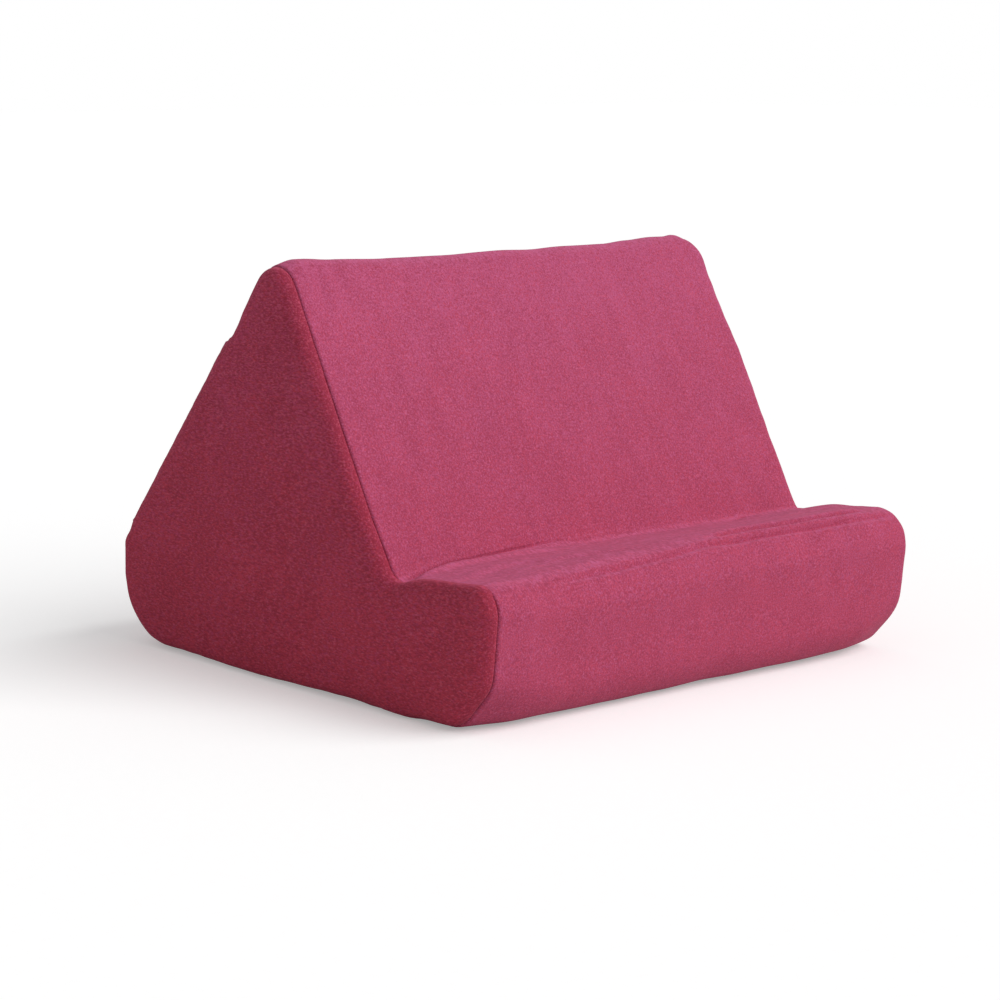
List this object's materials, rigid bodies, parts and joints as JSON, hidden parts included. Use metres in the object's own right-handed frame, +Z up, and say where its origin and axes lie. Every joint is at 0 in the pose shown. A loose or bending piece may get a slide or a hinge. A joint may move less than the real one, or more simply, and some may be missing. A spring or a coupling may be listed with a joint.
{
  "type": "tablet holder",
  "caption": "Soft foam wedge in a velour cover that props a tablet on its ledge, behind a raised front lip, with a pocket on its back.",
  "frame": {"origin": "centre of the box round the whole part, on the surface it rests on", "axes": "+Z up; +Y from the front lip to the back; +X to the right as seen from the front"},
  "size_m": [0.2958, 0.3096, 0.2099],
  "materials": {
    "foam": "matte",
    "velour": "matte",
    "zip_tape": "matte",
    "zip_coil": "satin",
    "zip_metal": "satin"
  },
  "bodies": {
    "cushion": {"foam_core": "foam", "wrap_panel": "velour", "side_panel_left": "velour", "side_panel_right": "velour", "back_pocket": "velour", "zip_tape_upper": "zip_tape", "zip_tape_lower": "zip_tape", "zip_coil_upper": "zip_coil", "zip_coil_lower": "zip_coil", "zip_stop_bottom": "zip_metal", "zip_stop_top_upper": "zip_metal", "zip_stop_top_lower": "zip_metal"},
    "slider": {"zip_slider": "zip_metal"},
    "pull": {"zip_pull_tab": "zip_metal"}
  },
  "joints": [
    {"name": "zip_slide", "type": "slide", "parent": "cushion", "child": "slider", "axis": [-1, 0, 0], "range_m": [0, 0.222]},
    {"name": "pull_swing", "type": "hinge", "parent": "slider", "child": "pull", "pos_m": [0.1111, 0.15284, 0.04404], "axis": [1, 0, 0], "range_deg": [-4, 160]}
  ]
}
